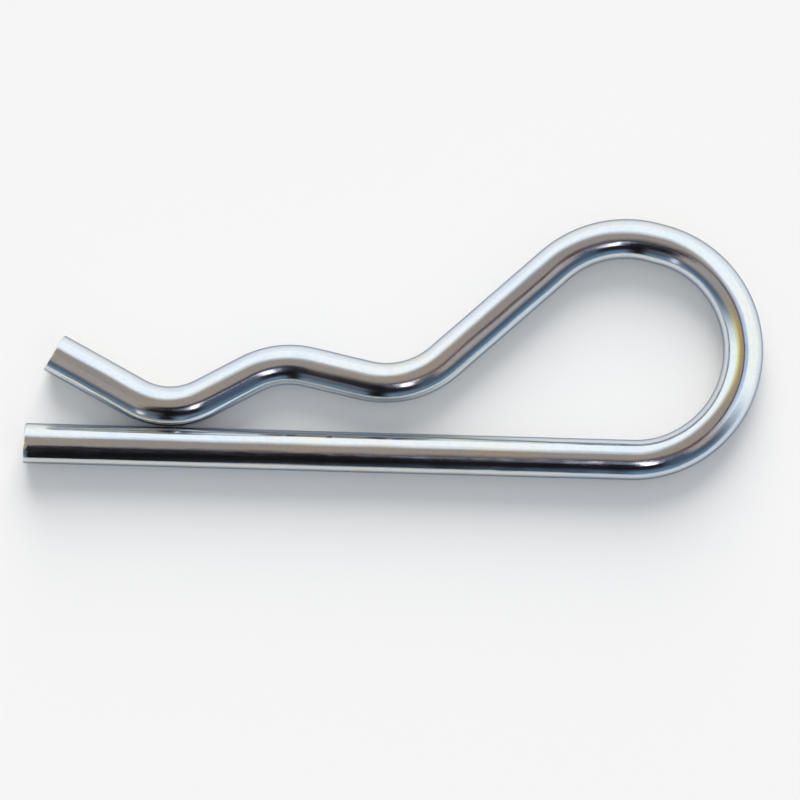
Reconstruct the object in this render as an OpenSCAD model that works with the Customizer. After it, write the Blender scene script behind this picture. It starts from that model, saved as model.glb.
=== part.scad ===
// Hitch R clip: a spring pin bent from one length of round wire.
// It lies flat. The leg runs along +X to the bow, and the waved arm comes back over the leg on its +Y side.
// The leg goes through the cross hole of a shaft, the crest of the arm then rests on the outside of that
// shaft, and the nip springs against the leg so that the clip stays in.
// The origin is at the middle of the clip's box, on the surface that the clip lies on.

/* [Wire] */
// Diameter of the wire
wire_d = 4; // [2:0.1:6]
// Radius on the rim of each cut end
end_round = 0.3; // [0.1:0.05:0.8]

/* [Leg and bow] */
// Straight length of the leg, from its free end to the bow
leg_l = 60; // [45:0.1:90]
// Inside radius of both bends of the bow
bow_r = 8.8; // [7:0.1:14]
// Turn of the bow's first bend, the heel, in degrees
heel_turn = 167; // [120:1:175]
// Short straight between the heel and the crown of the bow
back_l = 0.8; // [0.6:0.1:4]

/* [Arm] */
// Slope of the arm, from the bow down to the shoulder, in degrees
arm_slope = 42.5; // [32:0.5:55]
// Inside radius of the shoulder
shoulder_r = 7; // [4:0.1:9]
// Drop from the crest's underside to the shoulder's underside
shoulder_dip = 1.5; // [1:0.1:3]
// Slope of the saddle between the shoulder and the crest, in degrees
saddle_slope = 11.8; // [8:0.1:16]
// Inside radius of the crest
crest_r = 6.6; // [4:0.1:9]
// Diameter of the shaft that the crest rests on
shaft_d = 12.7; // [11:0.1:18]
// Room between that shaft and the crest while the clip is unsprung
seat_clear = 0.1; // [0:0.05:1]

/* [Nip and tip] */
// Slope of the ramp between the crest and the nip, in degrees
ramp_slope = 29; // [22:0.5:38]
// Inside radius of the nip
nip_r = 5.6; // [3:0.1:8]
// Gap that the nip leaves over the leg
nip_gap = 0.05; // [0.05:0.05:1.5]
// Slope of the flared tip, in degrees
tip_slope = 27.5; // [15:0.5:45]
// Straight length of the tip, from the nip to its cut end
tip_l = 9; // [4:0.1:20]

/* [Hidden] */
$fn = 96;

// Bending draws the wire this much thinner, measured on its radius.
bend_thinning = 0.01;
// Each bend reaches this far into the straights on both its sides.
bend_lap = 0.2;

wire_r = wire_d / 2;

// Radius of a bend along the middle of the wire, from its inside radius
function middle(inside_r) = inside_r + wire_r;

// Straight that makes up a drop between two levels of the wire at a slope.
// The bends at its ends take up part of that drop, as much as the sum of their radii gives.
function straight_for(drop, radii, slope) = (drop - radii * (1 - cos(slope))) / sin(slope);

// Levels of the middle of the wire over the middle of the leg
nip_y = wire_d + nip_gap;
crest_y = shaft_d / 2 + seat_clear + wire_r;
shoulder_y = crest_y - shoulder_dip;
bow_rise = back_l * sin(heel_turn);
bow_end_y = middle(bow_r) * (1 + cos(arm_slope)) + bow_rise;

arm_l = straight_for(bow_end_y - shoulder_y, middle(shoulder_r), arm_slope);
saddle_l = straight_for(shoulder_dip, middle(shoulder_r) + middle(crest_r), saddle_slope);
ramp_l = straight_for(crest_y - nip_y, middle(crest_r) + middle(nip_r), ramp_slope);

// Bend table, in the order of the wire: the straight before each bend, the bend's radius along the middle
// of the wire, and its turn in degrees, to the left when positive.
BENDS = [
    [leg_l, middle(bow_r), heel_turn],
    [back_l, middle(bow_r), 180 + arm_slope - heel_turn],
    [arm_l, middle(shoulder_r), -(arm_slope + saddle_slope)],
    [saddle_l, middle(crest_r), saddle_slope + ramp_slope],
    [ramp_l, middle(nip_r), -(ramp_slope + tip_slope)],
];

// Middle of the clip's box at its bottom, seen from the middle of the leg's free end
box_middle = [(leg_l + middle(bow_r) + wire_r) / 2, middle(bow_r) + bow_rise / 2, -wire_r];

// Straight wire along +X from the origin
module straight(length) {
    rotate([0, 90, 0]) cylinder(r = wire_r, h = length);
}

// Straight wire along +X from a cut end at the origin, with the rim of the cut rounded
module cut_straight(length) {
    rotate([0, 90, 0]) rotate_extrude() difference() {
        square([wire_r, length]);
        difference() {
            translate([wire_r - end_round, 0]) square(end_round);
            translate([wire_r - end_round, end_round]) circle(r = end_round);
        }
    }
}

// Bend that starts at the origin along +X, with its ends lapped into the straights beside it
module bend(radius, turn) {
    lap_angle = bend_lap / radius * 180 / PI;
    first_angle = turn > 0 ? -90 : 90 + turn;
    translate([0, sign(turn) * radius, 0])
        rotate_extrude(start = first_angle - lap_angle, angle = abs(turn) + 2 * lap_angle)
            translate([radius, 0]) circle(r = wire_r - bend_thinning);
}

// Puts its children where a bend that starts at the origin along +X ends, facing along the wire
module after_bend(radius, turn) {
    to_centre = [0, sign(turn) * radius, 0];
    translate(to_centre) rotate([0, 0, turn]) translate(-to_centre) children();
}

// Flared tip along +X from the origin, cut at its far end
module tip() {
    translate([tip_l, 0, 0]) rotate([0, 0, 180]) cut_straight(tip_l);
}

// The wire from one row of the bend table to the tip, starting at the origin along +X
module wire_from(row) {
    length = BENDS[row][0];
    radius = BENDS[row][1];
    turn = BENDS[row][2];
    if (row == 0) cut_straight(length);
    else straight(length);
    translate([length, 0, 0]) {
        bend(radius, turn);
        after_bend(radius, turn)
            if (row + 1 < len(BENDS)) wire_from(row + 1);
            else tip();
    }
}

// The whole clip
module r_clip() {
    color("lightsteelblue") translate(-box_middle) wire_from(0);
}

r_clip();
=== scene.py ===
# %% [markdown]
# # Hitch R clip
# An R clip is a spring pin bent from one length of round steel wire. The straight leg goes through the cross
# hole of a shaft, and the waved arm snaps over the outside of that shaft and holds the clip in place. This
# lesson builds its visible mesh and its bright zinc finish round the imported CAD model. We load that model
# first, because it gives us the frame that every piece has to fit.

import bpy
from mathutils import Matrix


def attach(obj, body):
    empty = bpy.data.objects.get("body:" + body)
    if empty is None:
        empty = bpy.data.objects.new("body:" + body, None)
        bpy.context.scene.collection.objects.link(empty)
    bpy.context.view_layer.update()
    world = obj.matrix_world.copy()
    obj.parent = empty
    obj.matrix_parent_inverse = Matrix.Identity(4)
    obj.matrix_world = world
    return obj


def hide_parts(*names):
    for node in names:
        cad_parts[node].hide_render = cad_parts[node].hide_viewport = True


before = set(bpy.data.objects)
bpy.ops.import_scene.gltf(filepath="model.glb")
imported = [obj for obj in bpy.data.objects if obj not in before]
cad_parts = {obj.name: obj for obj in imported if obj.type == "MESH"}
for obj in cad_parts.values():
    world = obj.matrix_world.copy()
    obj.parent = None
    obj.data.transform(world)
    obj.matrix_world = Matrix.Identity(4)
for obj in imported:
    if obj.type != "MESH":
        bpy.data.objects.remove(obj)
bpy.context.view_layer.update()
print("CAD nodes:", sorted(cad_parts))

# %% [markdown]
# ## The bend table
# A wire bender works from a table: how far the wire feeds before each bend, how tight the bend is and how far
# it turns. We could draw a curve over the clip by eye, but a table gives true arcs and true straights, and it
# repeats the sizes of the CAD model exactly. The arm is set by its heights over the leg, so the straights
# between its bends follow from those heights.

# %% Sizes of the wire and its levels
import math

MM = 0.001
wire_r = 2.0 * MM
leg_l = 60.0 * MM
heel_turn = math.radians(167.0)
back_l = 0.8 * MM
arm_slope = math.radians(42.5)
saddle_slope = math.radians(11.8)
ramp_slope = math.radians(29.0)
tip_slope = math.radians(27.5)
tip_l = 9.0 * MM

# Radii of the bends, along the middle of the wire
bow_r = 10.8 * MM
shoulder_r = 9.0 * MM
crest_r = 8.6 * MM
nip_r = 7.6 * MM

# Levels of the middle of the wire over the middle of the leg
nip_y = 4.05 * MM
crest_y = 8.45 * MM
shoulder_dip = 1.5 * MM
shoulder_y = crest_y - shoulder_dip
bow_rise = back_l * math.sin(heel_turn)
bow_end_y = bow_r * (1 + math.cos(arm_slope)) + bow_rise
for name, level in (("nip", nip_y), ("crest", crest_y), ("shoulder", shoulder_y)):
    print(f"{name} is {level / MM:.2f} mm over the leg")

# %% Straights and bends in the order of the wire


def straight_for(drop, radii, slope):
    """Straight that makes up a drop at a slope, when the bends at its ends take up part of that drop."""
    return (drop - radii * (1 - math.cos(slope))) / math.sin(slope)


arm_l = straight_for(bow_end_y - shoulder_y, shoulder_r, arm_slope)
saddle_l = straight_for(crest_y - shoulder_y, shoulder_r + crest_r, saddle_slope)
ramp_l = straight_for(crest_y - nip_y, crest_r + nip_r, ramp_slope)

# Each row: the straight before the bend, the bend's radius, and its turn, to the left when positive.
bends = [
    (leg_l, bow_r, heel_turn),
    (back_l, bow_r, math.pi + arm_slope - heel_turn),
    (arm_l, shoulder_r, -(arm_slope + saddle_slope)),
    (saddle_l, crest_r, saddle_slope + ramp_slope),
    (ramp_l, nip_r, -(ramp_slope + tip_slope)),
]
wire_l = sum(straight + radius * abs(turn) for straight, radius, turn in bends) + tip_l
for straight, radius, turn in bends:
    print(f"feed {straight / MM:.2f} mm, radius {radius / MM:.2f} mm, turn {math.degrees(turn):.1f} degrees")
print(f"wire before bending: {wire_l / MM:.1f} mm")

# %% [markdown]
# ## Bending the wire
# On the real clip the wire is round all the way, and the bends run into the straights with no kink. A
# bevelled curve would do, but its rings lean where points are uneven. Here one filled circle is the start of
# the wire: extruding it draws the straights, and spinning it round a centre draws the bends, the way the
# bender's pin does.

# %% The first circle, before the free end of the leg
import bpy
from mathutils import Vector

RING_SIDES = 96
SPARE = 1.0 * MM
leg_end = Vector((-(leg_l + bow_r + wire_r) / 2, -(bow_r + bow_rise / 2), wire_r))
wire_start = leg_end - Vector((SPARE, 0, 0))

bpy.ops.object.select_all(action="DESELECT")
bpy.ops.mesh.primitive_circle_add(
    vertices=RING_SIDES,
    radius=wire_r,
    fill_type="NGON",
    location=wire_start,
    rotation=(0, math.radians(90), 0),
)
wire = bpy.context.object
wire.name = "bent_wire"
bpy.ops.object.transform_apply(location=True, rotation=True, scale=True)
print("leg starts at", [round(value / MM, 3) for value in leg_end], "mm")

# %% Moves of the bender
RING_STEP = 0.5 * MM


def heading_vector(heading):
    """Unit vector along a heading in the plane of the clip."""
    return Vector((math.cos(heading), math.sin(heading), 0))


def feed(place, heading, length, step=RING_STEP):
    """Extrudes the selected end of the wire straight on, and returns where it then is."""
    steps = max(1, round(length / step))
    bpy.ops.mesh.extrude_repeat(steps=steps, offset=heading_vector(heading) * length / steps)
    return place + heading_vector(heading) * length


def bend_centre(place, heading, radius, turn):
    """Middle of a bend that starts at a place: on the left for a left turn, else on the right."""
    return place + heading_vector(heading + math.copysign(math.pi / 2, turn)) * radius


def bend_wire(place, heading, radius, turn):
    """Spins the selected end of the wire round a bend, and returns where it then is and its heading."""
    centre = bend_centre(place, heading, radius, turn)
    steps = max(1, round(radius * abs(turn) / RING_STEP))
    # Spin counts a turn to the right as positive.
    bpy.ops.mesh.spin(steps=steps, angle=-turn, center=centre, axis=(0, 0, 1))
    heading += turn
    return centre - heading_vector(heading + math.copysign(math.pi / 2, turn)) * radius, heading


print(f"one ring of the mesh every {RING_STEP / MM} mm")

# %% The whole wire, fed and bent
# Both ends get one long step, so that no ring is in the way of the cut and its rounded rim.
END_CLEAR = 0.6 * MM
END_STEP = SPARE + END_CLEAR

bpy.ops.object.mode_set(mode="EDIT")
bpy.ops.mesh.select_all(action="SELECT")
heading = 0.0
place = feed(wire_start, heading, END_STEP, END_STEP)
fed = END_CLEAR
# Where each straight of the wire starts, and its heading
stations = []
for straight, radius, turn in bends:
    stations.append((place - heading_vector(heading) * fed, heading))
    place = feed(place, heading, straight - fed)
    place, heading = bend_wire(place, heading, radius, turn)
    fed = 0.0
stations.append((place, heading))
tip_heading = heading
tip_end = feed(place, heading, tip_l - END_CLEAR) + heading_vector(heading) * END_CLEAR
feed(tip_end, heading, END_STEP, END_STEP)
print("tip ends at", [round(value / MM, 3) for value in tip_end], "mm")

# %% [markdown]
# ## Cutting the ends
# Wire is sheared to length, so its ends are never quite square, and plating thickens the sharp rim a little.
# We could turn the end rings, but a slanted cut by bisect is what the shear does. Each cutting plane goes
# through the longest side of the wire, so the clip stays as long as the CAD model. Bisect fills the cut and
# leaves the new face selected, and a bevel on that face's rim takes the sharpness off.

# %% Shear both ends and round their rims
SHEAR_SLANT = math.radians(2.6)
RIM_ROUND = 0.16 * MM
RIM_STEPS = 4


def shear(end, outward):
    """Cuts the wire on a slanted plane through the left side of an end, and rounds the rim of the cut."""
    left_side = end + heading_vector(outward + math.pi / 2) * wire_r
    slanted = heading_vector(outward - SHEAR_SLANT)
    bpy.ops.mesh.select_all(action="SELECT")
    bpy.ops.mesh.bisect(plane_co=left_side, plane_no=slanted, use_fill=True, clear_outer=True)
    bpy.ops.mesh.region_to_loop()
    bpy.ops.mesh.bevel(offset=RIM_ROUND, segments=RIM_STEPS, affect="EDGES")
    print(f"end cut {2 * wire_r * math.tan(SHEAR_SLANT) / MM:.2f} mm shorter on its right side")


shear(leg_end, math.pi)
shear(tip_end, tip_heading)

# %% Merge the mesh and turn its faces outwards
# The spin can turn faces inside out, so the normals are worked out anew, after doubles are merged.
MERGE_DISTANCE = 0.001 * MM
bpy.ops.mesh.select_all(action="SELECT")
bpy.ops.mesh.remove_doubles(threshold=MERGE_DISTANCE)
bpy.ops.mesh.normals_make_consistent(inside=False)
bpy.ops.object.mode_set(mode="OBJECT")
print("vertices", len(wire.data.vertices), "faces", len(wire.data.polygons))

# %% [markdown]
# ## Where each point was on the straight wire
# Draw lines, scuffs and plating streaks follow the wire round its bends, so the finish has to know where a
# point was before the wire was bent. A UV map would do, but it leaves a seam along the wire. Instead each
# point stores its place on the straight wire: the distance from the leg's free end, and the two offsets from
# the middle of the wire. We find it by going along the bend table and asking which straight or bend the point
# lies in.

# %% Beside a straight or a bend
SURFACE_SLACK = 0.02 * MM


def on_straight(point, start, heading, length):
    """Distance and side offset of a point along a straight, or None where the point isn't beside it."""
    offset = point - start
    along = offset.dot(heading_vector(heading))
    side = offset.dot(heading_vector(heading + math.pi / 2))
    beside = -SURFACE_SLACK <= along <= length + SURFACE_SLACK and abs(side) <= wire_r + SURFACE_SLACK
    return (along, side) if beside else None


def on_bend(point, start, heading, radius, turn):
    """Distance and side offset of a point along a bend, or None where the point isn't on it."""
    way = math.copysign(1, turn)
    offset = point - bend_centre(start, heading, radius, turn)
    out = math.hypot(offset.x, offset.y)
    swept = way * (math.atan2(offset.y, offset.x) - heading) + math.pi / 2
    swept = (swept + math.pi / 2) % (2 * math.pi) - math.pi / 2
    slack = SURFACE_SLACK / radius
    beside = -slack <= swept <= abs(turn) + slack and abs(out - radius) <= wire_r + SURFACE_SLACK
    return (swept * radius, way * (radius - out)) if beside else None


print(f"a point is beside the wire within {SURFACE_SLACK / MM} mm of its surface")

# %% Unbend every point


def flatten(point):
    """The point moved down to the floor."""
    return Vector((point.x, point.y, 0))


def unbend(point):
    """Place on the straight wire: distance from the leg's end, offset to the left and height.

    The fourth value is how many rings into a bend the point is, negative in a bend to the right.
    """
    flat = flatten(point)
    height = point.z - wire_r
    gone = 0.0
    for (start, heading), (straight, radius, turn) in zip(stations, bends):
        start = flatten(start)
        found = on_straight(flat, start, heading, straight)
        if found:
            return gone + found[0], found[1], height, 0.0
        gone += straight
        found = on_bend(flat, start + heading_vector(heading) * straight, heading, radius, turn)
        if found:
            rings_in = min(found[0], radius * abs(turn) - found[0]) / RING_STEP
            return gone + found[0], found[1], height, math.copysign(rings_in, turn)
        gone += radius * abs(turn)
    start, heading = stations[-1]
    along, side = on_straight(flat, flatten(start), heading, tip_l)
    return gone + along, side, height, 0.0


unbent = [unbend(vertex.co) for vertex in wire.data.vertices]
distances = [point[0] / MM for point in unbent]
print(f"unbent wire runs from {min(distances):.2f} to {max(distances):.2f} mm")

# %% [markdown]
# ## Marks of the bending pin
# The pin that the wire is bent round presses a shallow flat into the inside of each bend, and drawn wire is
# never perfectly even. Both are only hundredths of a millimetre deep, but a bright surface shows them,
# because the reflections wander. We could fake them with bump alone. Two applied Displace modifiers put them
# into the mesh itself, the first one limited to the inside of the bends by a vertex group, and both only
# press inwards.

# %% Where the pin presses
PIN_FADE_RINGS = 5.0
PIN_FOCUS = 3
HARD_PRESSED = 0.5


def pin_weight(unbent_point):
    """How hard the bending pin presses: full on the inside of a bend, fading to its ends and its sides."""
    _, side, _, rings_in = unbent_point
    inside = max(0.0, math.copysign(side, rings_in * side) / wire_r)
    return min(1.0, abs(rings_in) / PIN_FADE_RINGS) * inside ** PIN_FOCUS


pin_weights = [pin_weight(point) for point in unbent]
pin_side = wire.vertex_groups.new(name="pin_side")
for index, weight in enumerate(pin_weights):
    pin_side.add([index], weight, "REPLACE")
print("points under a pin:", sum(weight > HARD_PRESSED for weight in pin_weights))

# %% Press the flats and the unevenness into the wire
PIN_FLAT = 0.05 * MM
UNEVENNESS = 0.03 * MM
UNEVEN_SIZE = 5.0 * MM

bpy.context.view_layer.objects.active = wire
flats = wire.modifiers.new("pin flats", "DISPLACE")
flats.vertex_group = "pin_side"
flats.strength = -PIN_FLAT
flats.mid_level = 0.0
bpy.ops.object.modifier_apply(modifier=flats.name)

clouds = bpy.data.textures.new("uneven wire", "CLOUDS")
clouds.noise_scale = UNEVEN_SIZE
uneven = wire.modifiers.new("uneven wire", "DISPLACE")
uneven.texture = clouds
uneven.texture_coords = "LOCAL"
uneven.strength = UNEVENNESS
uneven.mid_level = 1.0
bpy.ops.object.modifier_apply(modifier=uneven.name)
wire.vertex_groups.clear()
print("modifiers left on the wire:", len(wire.modifiers))

# %% Store the straight wire's coordinates for the finish
# A new attribute moves the older ones in memory, so each is filled before the next is made.
SMOOTH_ANGLE = math.radians(30)
wire_place = wire.data.attributes.new("straight_wire", "FLOAT_VECTOR", "POINT")
wire_place.data.foreach_set("vector", [value / MM for point in unbent for value in point[:3]])
pin_rub = wire.data.attributes.new("pin_rub", "FLOAT", "POINT")
pin_rub.data.foreach_set("value", pin_weights)
bpy.ops.object.shade_smooth_by_angle(angle=SMOOTH_ANGLE)
print("attributes:", [attribute.name for attribute in wire.data.attributes if not attribute.is_internal])

# %% [markdown]
# ## Bright zinc
# The wire is plated with bright zinc. New plating is a clear mirror with a cool cast, and the thin
# passivation film on it adds faint clouds of blue and straw. The sheared ends carry the same film. An effect
# that two finishes share is best made once, so the film is a node group that gives a colour, and each finish
# sets how strong it is. Node trees repeat a few moves over and over, so we write those as helpers first.

# %% Small helpers for node trees


def add_node(tree, kind, **settings):
    """Adds a node to a tree and sets its named properties."""
    node = tree.nodes.new(kind)
    for name, value in settings.items():
        setattr(node, name, value)
    return node


def wire_up(tree, source, target):
    """Links a socket to a socket, or sets the target to a plain value."""
    if isinstance(source, bpy.types.NodeSocket):
        tree.links.new(source, target)
    else:
        target.default_value = source


def calculate(tree, operation, *values):
    """Math node on one or more sockets or numbers."""
    node = add_node(tree, "ShaderNodeMath", operation=operation)
    for socket, value in zip(node.inputs, values):
        wire_up(tree, value, socket)
    return node.outputs["Value"]


def soft_step(tree, value, low, high, start=0.0, end=1.0):
    """Goes smoothly from start to end while a value goes from low to high."""
    node = add_node(tree, "ShaderNodeMapRange", interpolation_type="SMOOTHSTEP")
    sources = {"Value": value, "From Min": low, "From Max": high, "To Min": start, "To Max": end}
    for name, source in sources.items():
        wire_up(tree, source, node.inputs[name])
    return node.outputs["Result"]


print("helpers for values ready")

# %% Helpers for mixes and noises


def mix(tree, amount, below, above, data_type="RGBA"):
    """Goes from one colour to another with an amount, or from one number to another with type FLOAT."""
    node = add_node(tree, "ShaderNodeMix", data_type=data_type)
    # A Mix node holds sockets for every type, and only those of its own type are enabled.
    enabled = [socket for socket in node.inputs if socket.enabled]
    for socket, source in zip(enabled, (amount, below, above)):
        wire_up(tree, source, socket)
    return next(socket for socket in node.outputs if socket.enabled)


def stretched_noise(tree, vector, scale, detail):
    """Noise whose size differs along the wire and across it: scale is cycles per millimetre on each axis."""
    mapping = add_node(tree, "ShaderNodeMapping")
    mapping.inputs["Scale"].default_value = scale
    wire_up(tree, vector, mapping.inputs["Vector"])
    noise = add_node(tree, "ShaderNodeTexNoise")
    noise.inputs["Scale"].default_value = 1.0
    noise.inputs["Detail"].default_value = detail
    wire_up(tree, mapping.outputs["Vector"], noise.inputs["Vector"])
    return noise.outputs["Fac"]


print("helpers for mixes and noises ready")

# %% Helper that lays out a node tree
COLUMN_WIDTH = 220
ROW_HEIGHT = 260


def spread_nodes(tree):
    """Lays a finished tree out in columns for the node editor, each node left of all that it feeds."""
    columns = {node.name: 0 for node in tree.nodes}
    settled = False
    while not settled:
        settled = True
        for link in tree.links:
            needed = columns[link.to_node.name] + 1
            if columns[link.from_node.name] < needed:
                columns[link.from_node.name] = needed
                settled = False
    rows = dict.fromkeys(columns.values(), 0)
    for node in tree.nodes:
        column = columns[node.name]
        node.location = (-column * COLUMN_WIDTH, -rows[column] * ROW_HEIGHT)
        rows[column] += 1
    print(len(tree.nodes), "nodes in", len(rows), "columns")


print("layout helper ready")

# %% The passivation film as a node group
ZINC = (0.80, 0.825, 0.845, 1)
FILM_BLUE = (0.70, 0.79, 0.90, 1)
FILM_STRAW = (0.86, 0.82, 0.70, 1)
CLOUD_SCALE = (0.4, 0.8, 0.8)
CLOUD_DETAIL = 4.0
CLOUD_EDGES = (0.35, 0.7)
HUE_SCALE = (0.07, 0.35, 0.35)
HUE_DETAIL = 2.0
HUE_EDGES = (0.38, 0.62)

film = bpy.data.node_groups.new("passivation_film", "ShaderNodeTree")
film.interface.new_socket("Vector", in_out="INPUT", socket_type="NodeSocketVector")
film.interface.new_socket("Strength", in_out="INPUT", socket_type="NodeSocketFloat")
film.interface.new_socket("Color", in_out="OUTPUT", socket_type="NodeSocketColor")
film_in = add_node(film, "NodeGroupInput")
film_out = add_node(film, "NodeGroupOutput")
cloud = stretched_noise(film, film_in.outputs["Vector"], CLOUD_SCALE, CLOUD_DETAIL)
hue = stretched_noise(film, film_in.outputs["Vector"], HUE_SCALE, HUE_DETAIL)
film_colour = mix(film, soft_step(film, hue, *HUE_EDGES), FILM_BLUE, FILM_STRAW)
cloudiness = soft_step(film, cloud, *CLOUD_EDGES)
film_amount = calculate(film, "MULTIPLY", cloudiness, film_in.outputs["Strength"])
wire_up(film, mix(film, film_amount, ZINC, film_colour), film_out.inputs["Color"])
spread_nodes(film)

# %% A metal with the film on it


def start_metal(name, film_strength):
    """Starts a metal finish, and returns its material, shader, place on the wire and film colour."""
    material = bpy.data.materials.new(name)
    material.use_nodes = True
    tree = material.node_tree
    shader = tree.nodes["Principled BSDF"]
    shader.inputs["Metallic"].default_value = 1.0
    wire_attribute = add_node(tree, "ShaderNodeAttribute", attribute_name="straight_wire")
    place_on_wire = wire_attribute.outputs["Vector"]
    film_node = add_node(tree, "ShaderNodeGroup", node_tree=film)
    film_node.inputs["Strength"].default_value = film_strength
    wire_up(tree, place_on_wire, film_node.inputs["Vector"])
    return material, shader, place_on_wire, film_node.outputs["Color"]


def add_bump(tree, height, distance, shader):
    """Bump on a shader, where a height of one stands for a distance."""
    bump = add_node(tree, "ShaderNodeBump")
    bump.inputs["Strength"].default_value = 1.0
    bump.inputs["Distance"].default_value = distance
    wire_up(tree, height, bump.inputs["Height"])
    wire_up(tree, bump.outputs["Normal"], shader.inputs["Normal"])


print("metal helpers ready")

# %% [markdown]
# ## The finish along the wire
# Drawing the wire through a die leaves fine lines along its length, which the plating only partly fills.
# Handling adds small nicks, and the bending pin rubs the inside of each bend dull. All of it reads the
# straight-wire coordinates, so the lines run round the bends. The lines go into bump and roughness and hardly
# into colour, because zinc has one colour and what we see of a line is how it scatters light. A plated wire
# mirrors less where we look along its surface. The shader's Specular Tint gives that, and it draws the thin
# cool line along the outline of the wire.

# %% Zinc wire material
WIRE_FILM = 0.75
GRAZING_TINT = (0.22, 0.31, 0.43, 1)
LINE_SCALE = (0.035, 3.0, 3.0)
LINE_DETAIL = 4.0
SPECKLE_SCALE = (2.5, 6.0, 6.0)
SPECKLE_DETAIL = 3.0
WAVE_SCALE = (0.22, 0.6, 0.6)
WAVE_DETAIL = 1.0

zinc, shader, place_on_wire, film_tone = start_metal("bright_zinc_wire", WIRE_FILM)
tree = zinc.node_tree
shader.inputs["Specular Tint"].default_value = GRAZING_TINT
rub = add_node(tree, "ShaderNodeAttribute", attribute_name="pin_rub").outputs["Fac"]
draw_lines = stretched_noise(tree, place_on_wire, LINE_SCALE, LINE_DETAIL)
speckle = stretched_noise(tree, place_on_wire, SPECKLE_SCALE, SPECKLE_DETAIL)
long_wave = stretched_noise(tree, place_on_wire, WAVE_SCALE, WAVE_DETAIL)
print("zinc noises ready")

# %% Small nicks in the plating
# Each cell of the pattern has one point, and a nick shows where that point lies close to the wire's surface.
CELLS_PER_MM = 0.22
NICK_EDGES = (0.02, 0.05)
NICK_STRENGTH = 0.45
nick_cells = add_node(tree, "ShaderNodeTexVoronoi", feature="F1")
nick_cells.inputs["Scale"].default_value = CELLS_PER_MM
wire_up(tree, place_on_wire, nick_cells.inputs["Vector"])
small_nicks = soft_step(tree, nick_cells.outputs["Distance"], *NICK_EDGES, NICK_STRENGTH, 0.0)
print(f"nick cells are {1 / CELLS_PER_MM:.1f} mm wide")

# %% One larger pit on the upper side of the leg, half way along it
PIT_PLACE = Vector((30.2, 1.53, 1.29))
PIT_SQUEEZE = Vector((0.55, 1.0, 1.0))
PIT_EDGES = (0.26, 0.42)
PIT_STRENGTH = 0.85
PIT_RAGGEDNESS = 0.3
pit_offset = add_node(tree, "ShaderNodeMapping")
pit_offset.inputs["Scale"].default_value = PIT_SQUEEZE
pit_offset.inputs["Location"].default_value = -PIT_PLACE * PIT_SQUEEZE
wire_up(tree, place_on_wire, pit_offset.inputs["Vector"])
pit_distance = add_node(tree, "ShaderNodeVectorMath", operation="LENGTH")
wire_up(tree, pit_offset.outputs["Vector"], pit_distance.inputs[0])
ragged_distance = calculate(tree, "MULTIPLY_ADD", speckle, PIT_RAGGEDNESS, pit_distance.outputs["Value"])
pit = soft_step(tree, ragged_distance, *PIT_EDGES, PIT_STRENGTH, 0.0)
nicks = calculate(tree, "MAXIMUM", small_nicks, pit)
print("pit at", [round(value, 2) for value in PIT_PLACE], "mm on the straight wire")

# %% Colour and roughness of the zinc
GRAIN_COLOUR = (0.66, 0.67, 0.69, 1)
GRAIN_EDGES = (0.4, 0.75)
GRAIN_STRENGTH = 0.35
NICK_COLOUR = (0.12, 0.12, 0.13, 1)
grain = soft_step(tree, speckle, *GRAIN_EDGES, 0.0, GRAIN_STRENGTH)
grained = mix(tree, grain, film_tone, GRAIN_COLOUR)
wire_up(tree, mix(tree, nicks, grained, NICK_COLOUR), shader.inputs["Base Color"])

LINE_EDGES = (0.35, 0.7)
CLEAR_ROUGHNESS = 0.09
LINE_ROUGHNESS = 0.16
RUB_ROUGHNESS = 0.12
NICK_ROUGHNESS = 0.35
roughness = soft_step(tree, draw_lines, *LINE_EDGES, CLEAR_ROUGHNESS, LINE_ROUGHNESS)
roughness = calculate(tree, "MULTIPLY_ADD", rub, RUB_ROUGHNESS, roughness)
roughness = calculate(tree, "MULTIPLY_ADD", nicks, NICK_ROUGHNESS, roughness)
wire_up(tree, roughness, shader.inputs["Roughness"])
print("zinc colour and roughness ready")

# %% Relief of the zinc
# Heights are in thousandths of a millimetre.
MICRON = 0.001 * MM
LINE_HEIGHT = 10.0
SPECKLE_HEIGHT = 2.2
WAVE_HEIGHT = 35.0
NICK_DEPTH = 30.0
relief = calculate(tree, "MULTIPLY", draw_lines, LINE_HEIGHT)
relief = calculate(tree, "MULTIPLY_ADD", speckle, SPECKLE_HEIGHT, relief)
relief = calculate(tree, "MULTIPLY_ADD", long_wave, WAVE_HEIGHT, relief)
relief = calculate(tree, "MULTIPLY_ADD", nicks, -NICK_DEPTH, relief)
add_bump(tree, relief, MICRON, shader)
spread_nodes(tree)

# %% [markdown]
# ## The sheared ends
# A shear first slides through the wire, which leaves smooth streaks, and then the rest breaks off, which
# leaves a grainy patch. The plating covers both. The wire's own finish has lines that run along the wire, and
# on a cut they would only show as dots. So the end faces get a finish of their own: the same film, much
# rougher, with streaks along the cut on one half and grain on the other.

# %% Streaks and grain of the cut
END_FILM = 0.3
STREAK_SCALE = (1.0, 0.8, 9.0)
STREAK_DETAIL = 3.0
BREAK_SCALE = (6.0, 6.0, 6.0)
BREAK_DETAIL = 4.0
BREAK_EDGES = (-0.5, 0.3)

sheared, shader, place_on_wire, film_tone = start_metal("sheared_end", END_FILM)
tree = sheared.node_tree
streaks = stretched_noise(tree, place_on_wire, STREAK_SCALE, STREAK_DETAIL)
broken_grain = stretched_noise(tree, place_on_wire, BREAK_SCALE, BREAK_DETAIL)
offset_split = add_node(tree, "ShaderNodeSeparateXYZ")
wire_up(tree, place_on_wire, offset_split.inputs["Vector"])
broken = soft_step(tree, offset_split.outputs["Y"], *BREAK_EDGES)
cut_relief = mix(tree, broken, streaks, broken_grain, "FLOAT")
print("cut relief ready")

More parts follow.
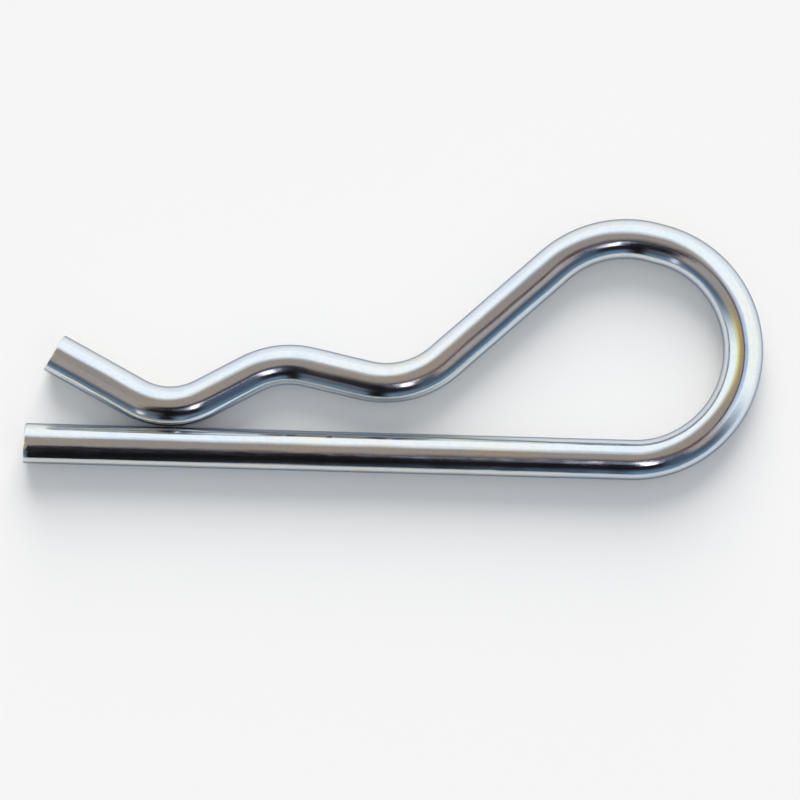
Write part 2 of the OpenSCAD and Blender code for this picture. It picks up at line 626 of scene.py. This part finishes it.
# %% Colour with painted shade in the hollows, roughness and bump of the cut
HOLLOW_SHADE_PAINT = (0.55, 0.56, 0.58, 1)
SHADE_EDGES = (0.35, 0.6)
SHADE_STRENGTH = 0.5
END_EDGES = (0.3, 0.7)
HOLLOW_ROUGHNESS = 0.42
RIDGE_ROUGHNESS = 0.28
END_HEIGHT = 40 * MICRON
# Painted shade: the cut's colour turns darker where its relief is low, in its hollows.
painted_hollow_shade = soft_step(tree, cut_relief, *SHADE_EDGES, SHADE_STRENGTH, 0.0)
wire_up(tree, mix(tree, painted_hollow_shade, film_tone, HOLLOW_SHADE_PAINT), shader.inputs["Base Color"])
end_roughness = soft_step(tree, cut_relief, *END_EDGES, HOLLOW_ROUGHNESS, RIDGE_ROUGHNESS)
wire_up(tree, end_roughness, shader.inputs["Roughness"])
add_bump(tree, cut_relief, END_HEIGHT, shader)
spread_nodes(tree)

# %% Put the finishes on the wire
wire.data.materials.append(zinc)
wire.data.materials.append(sheared)
END_LEAN = 0.8


def faces_an_end(face):
    """True for a face that looks along the wire, at either cut end."""
    at_leg = face.center.x < leg_end.x + RIM_ROUND and face.normal.dot(heading_vector(math.pi)) > END_LEAN
    past_tip = (face.center - tip_end).dot(heading_vector(tip_heading)) > -2 * RIM_ROUND
    return at_leg or (past_tip and face.normal.dot(heading_vector(tip_heading)) > END_LEAN)


for face in wire.data.polygons:
    face.material_index = 1 if faces_an_end(face) else 0
print("faces on the cut ends:", sum(face.material_index for face in wire.data.polygons))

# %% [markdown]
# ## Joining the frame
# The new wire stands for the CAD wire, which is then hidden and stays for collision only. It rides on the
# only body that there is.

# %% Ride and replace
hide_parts("r_clip")
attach(wire, "root")

# %% [markdown]
# ## The floor
# The clip lies on a plain white sheet, wide enough to fill every view. A matt sheet would do, but the lower
# sides of the wire mirror it, and a satin one mirrors the tent in its turn, so those sides stay darker than
# the sheet itself.

# %% Pale floor
FLOOR_SIZE = 4.0
FLOOR_COLOUR = (0.92, 0.92, 0.92, 1)
FLOOR_ROUGHNESS = 0.25
bpy.ops.object.select_all(action="DESELECT")
bpy.ops.mesh.primitive_plane_add(size=FLOOR_SIZE, location=(0, 0, 0))
floor = bpy.context.object
floor.name = "pale_floor"
satin = bpy.data.materials.new("pale_satin")
satin.use_nodes = True
satin_shader = satin.node_tree.nodes["Principled BSDF"]
satin_shader.inputs["Base Color"].default_value = FLOOR_COLOUR
satin_shader.inputs["Roughness"].default_value = FLOOR_ROUGHNESS
floor.data.materials.append(satin)
print("floor", FLOOR_SIZE, "m wide")

# %% [markdown]
# ## The light tent
# Bright metal has hardly a look of its own: it shows what stands round it. Small metal parts are shot in a
# light tent with white walls, a duller roof where the camera looks in, and a dark gap at the front. That
# gives the wire a white side, a warm grey middle and a black side. We could build the tent from lit panels,
# but they would get in the way of the other views. The world does the same job: its colour depends on the
# angle from straight up and on the angle round from the front, which is -Y, counted towards +X. Both are in
# degrees.

# %% Angles of the tent
world = bpy.data.worlds.new("light_tent")
world.use_nodes = True
bpy.context.scene.world = world
tent = world.node_tree
direction = add_node(tent, "ShaderNodeTexCoord").outputs["Generated"]
split = add_node(tent, "ShaderNodeSeparateXYZ")
wire_up(tent, direction, split.inputs["Vector"])
from_up = calculate(tent, "DEGREES", calculate(tent, "ARCCOSINE", split.outputs["Z"]))
towards_front = calculate(tent, "MULTIPLY", split.outputs["Y"], -1.0)
turned = calculate(tent, "ARCTAN2", split.outputs["X"], towards_front)
from_front = calculate(tent, "DEGREES", turned)
print("tent angles ready")

# %% Masks in the tent


def between(value, edges, soft):
    """Mask that is one while a value is between two edges, which are soft."""
    low, high = edges
    rise = soft_step(tent, value, low - soft, low + soft)
    fall = soft_step(tent, value, high - soft, high + soft, 1.0, 0.0)
    return calculate(tent, "MULTIPLY", rise, fall)


def both(first, second):
    """Mask where two masks overlap."""
    return calculate(tent, "MULTIPLY", first, second)


def patch(round_edges, round_soft, up_edges, up_soft):
    """Mask between two angles round from the front and two angles from straight up."""
    return both(between(from_front, round_edges, round_soft), between(from_up, up_edges, up_soft))


print("tent masks ready")

# %% White walls, and a cool shade low at the front
WALL = (1.05, 1.12, 1.17, 1)
COOL_SHADE = (0.08, 0.115, 0.165, 1)
HORIZON = (0.15, 0.245, 0.34, 1)
FRONT_ROUND = (-72.0, 62.0)
FRONT_SOFT = 18.0
SHADE_STARTS = (29.0, 41.0)
HORIZON_STARTS = (62.0, 84.0)

front_half = between(from_front, FRONT_ROUND, FRONT_SOFT)
low_down = soft_step(tent, from_up, *SHADE_STARTS)
cool_tone = mix(tent, soft_step(tent, from_up, *HORIZON_STARTS), COOL_SHADE, HORIZON)
walls = mix(tent, both(front_half, low_down), WALL, cool_tone)
print("walls ready")

# %% Reach of the roof
# The roof ends early on the right. Between the left and the front or the back it leans out further.
RIGHT_FOCUS = 4.0
LEFT_FOCUS = 6.0
RIGHT_STRETCH = 2.0
ROOF_LEAN = 21.0

sideways = calculate(tent, "SINE", turned)
right_half = calculate(tent, "MAXIMUM", sideways, 0.0)
left_half = calculate(tent, "MAXIMUM", calculate(tent, "MULTIPLY", sideways, -1.0), 0.0)
to_right = calculate(tent, "POWER", right_half, RIGHT_FOCUS)
to_left = calculate(tent, "POWER", left_half, LEFT_FOCUS)
stretch = calculate(tent, "MULTIPLY_ADD", to_right, RIGHT_STRETCH, 1.0)
lean_left = calculate(tent, "MULTIPLY_ADD", to_left, -ROOF_LEAN, ROOF_LEAN)
roof_lean = calculate(tent, "MULTIPLY", left_half, lean_left)
roof_angle = calculate(tent, "SUBTRACT", calculate(tent, "MULTIPLY", from_up, stretch), roof_lean)
print("roof reach ready")

# %% Warm roof
# The three colour channels end at their own angles on the left. The wall's red comes in before its blue does,
# and so the roof has a warm edge there.
ROOF = (0.35, 0.30, 0.265, 1)
GOLD = (0.52, 0.38, 0.14, 1)
GOLD_PATCH = ((-114.0, -64.0), 14.0, (8.0, 36.0), 6.0)
ROOF_ENDS = (25.0, 54.0)
LEFT_ENDS = ((10.0, 47.0), (10.0, 50.0), (14.0, 64.0))

roof_paint = add_node(tent, "ShaderNodeSeparateColor")
wire_up(tent, mix(tent, patch(*GOLD_PATCH), ROOF, GOLD), roof_paint.inputs["Color"])
wall_paint = add_node(tent, "ShaderNodeSeparateColor")
wire_up(tent, walls, wall_paint.inputs["Color"])
roofed = add_node(tent, "ShaderNodeCombineColor")
for channel, left_ends in enumerate(LEFT_ENDS):
    inner, outer = (
        calculate(tent, "MULTIPLY_ADD", to_left, left_end - roof_end, roof_end)
        for left_end, roof_end in zip(left_ends, ROOF_ENDS)
    )
    roof = soft_step(tent, roof_angle, inner, outer, 1.0, 0.0)
    tone = mix(tent, roof, wall_paint.outputs[channel], roof_paint.outputs[channel], "FLOAT")
    wire_up(tent, tone, roofed.inputs[channel])
print("roof ready")

# %% Right wall, and the flank of the roof over the gap
CREAM = (1.12, 1.12, 1.02, 1)
LILAC = (0.50, 0.60, 0.76, 1)
MAUVE = (0.03, 0.015, 0.03, 1)
FLANK = (0.385, 0.345, 0.325, 1)
SIDE_SOFT = 14.0
CREAM_ROUND = (74.0, 122.0)
CREAM_STARTS = (26.0, 44.0)
LILAC_UP = (12.0, 29.0)
LILAC_SOFT = 5.0
MAUVE_UP = (1.0, 11.0)
MAUVE_SOFT = 2.5
FLANK_ROUND = (-52.0, 56.0)
FLANK_ENDS = (35.0, 53.0)

right_wall = both(between(from_front, CREAM_ROUND, SIDE_SOFT), soft_step(tent, from_up, *CREAM_STARTS))
right_shade = both(to_right, between(from_up, LILAC_UP, LILAC_SOFT))
roof_line = both(to_right, between(from_up, MAUVE_UP, MAUVE_SOFT))
flank = both(between(from_front, FLANK_ROUND, SIDE_SOFT), soft_step(tent, from_up, *FLANK_ENDS, 1.0, 0.0))
tent_colour = mix(tent, right_wall, roofed.outputs["Color"], CREAM)
tent_colour = mix(tent, right_shade, tent_colour, LILAC)
tent_colour = mix(tent, roof_line, tent_colour, MAUVE)
tent_colour = mix(tent, flank, tent_colour, FLANK)
print("right wall and flank ready")

# %% Dark gap at the front, with strips of light beside it
GAP = (0.005, 0.004, 0.0035, 1)
GAP_SIDE = (0.014, 0.013, 0.024, 1)
GAP_BLUE = (0.065, 0.095, 0.155, 1)
STRIP_LIGHT = (3.2, 3.1, 3.3, 1)
LOW_SLIT = (1.05, 1.05, 1.1, 1)
CURTAIN = (0.11, 0.004, 0.010, 1)

# Each sheet: its colour, then its edges round from the front and from straight up, each with their softness.
# A later sheet hangs in front of the earlier ones.
SHEETS = (
    (GAP_BLUE, (19.0, 34.0), 4.0, (5.0, 52.0), 7.0),
    (GAP_SIDE, (-20.0, -5.0), 4.0, (2.0, 47.0), 5.0),
    (GAP_SIDE, (-5.0, 21.0), 4.0, (6.0, 62.0), 7.0),
    (GAP_BLUE, (3.0, 11.0), 2.0, (7.0, 30.0), 5.0),
    (GAP, (-8.0, 2.0), 3.0, (8.0, 90.0), 7.0),
    (STRIP_LIGHT, (12.0, 17.0), 1.2, (15.0, 36.0), 3.0),
    (LOW_SLIT, (-22.0, -18.0), 1.2, (58.0, 84.0), 4.0),
    (CURTAIN, (36.0, 54.0), 4.0, (3.0, 16.0), 2.5),
)
for colour, *edges in SHEETS:
    tent_colour = mix(tent, patch(*edges), tent_colour, colour)
wire_up(tent, tent_colour, tent.nodes["Background"].inputs["Color"])
spread_nodes(tent)

# The tent is there to be mirrored. Two lamps light the floor, which keeps the shadow under the wire clear.
world.cycles_visibility.diffuse = False
print("sheets in the tent:", len(SHEETS))

# %% [markdown]
# ## The lamps
# A soft lamp shines through the back wall, so the clip's shadow falls forward, and a broad, slightly cool
# one fills that shadow from above. We could leave the light to the tent, but it shines from nearly all sides
# and would wash that shadow out. The tent is what the metal mirrors, so both lamps are left out of
# reflections.

# %% Soft lamps
BACK_LEAN = math.radians(62.0)
BACK_SIZE = math.radians(44.0)
BACK_ENERGY = 3.2
BACK_COLOUR = (1.0, 0.945, 0.90)
FILL_SIZE = math.radians(150.0)
FILL_ENERGY = 1.89
FILL_COLOUR = (0.904, 0.953, 1.0)


def soft_lamp(name, lean, size, energy, colour):
    """Lamp that shines down, leaning from straight up towards +Y, and that metal doesn't mirror."""
    bpy.ops.object.light_add(type="SUN", rotation=(-lean, 0, 0))
    lamp = bpy.context.object
    lamp.name = name
    lamp.data.energy = energy
    lamp.data.angle = size
    lamp.data.color = colour
    lamp.visible_glossy = False
    print(f"{name} leans {math.degrees(lean):.0f} degrees and is {math.degrees(size):.0f} degrees wide")


soft_lamp("back_lamp", BACK_LEAN, BACK_SIZE, BACK_ENERGY, BACK_COLOUR)
soft_lamp("cool_fill", 0.0, FILL_SIZE, FILL_ENERGY, FILL_COLOUR)

# %% [markdown]
# ## The camera
# The photograph looks straight down on the clip, with the clip turned a little clockwise and set above the
# middle of the picture. A short lens would show one side of the wire more than the other towards the ends of
# the clip. A long lens keeps both sides equally visible along the whole length.

# %% Camera over the clip
LENS = 250.0
SENSOR = 36.0
NEAR_LIMIT = 0.01
VIEW_WIDTH = 79.0 * MM
VIEW_MIDDLE = (0.67 * MM, -5.61 * MM)
CLIP_TURN = math.radians(1.592)
camera_height = wire_r + VIEW_WIDTH * LENS / SENSOR
bpy.ops.object.camera_add(location=(*VIEW_MIDDLE, camera_height), rotation=(0, 0, CLIP_TURN))
camera = bpy.context.object
camera.name = "photo_camera"
camera.data.lens = LENS
camera.data.sensor_width = SENSOR
camera.data.clip_start = NEAR_LIMIT
bpy.context.scene.camera = camera
bpy.context.scene.view_settings.view_transform = "Standard"
print(f"camera {camera_height:.3f} m above the floor")
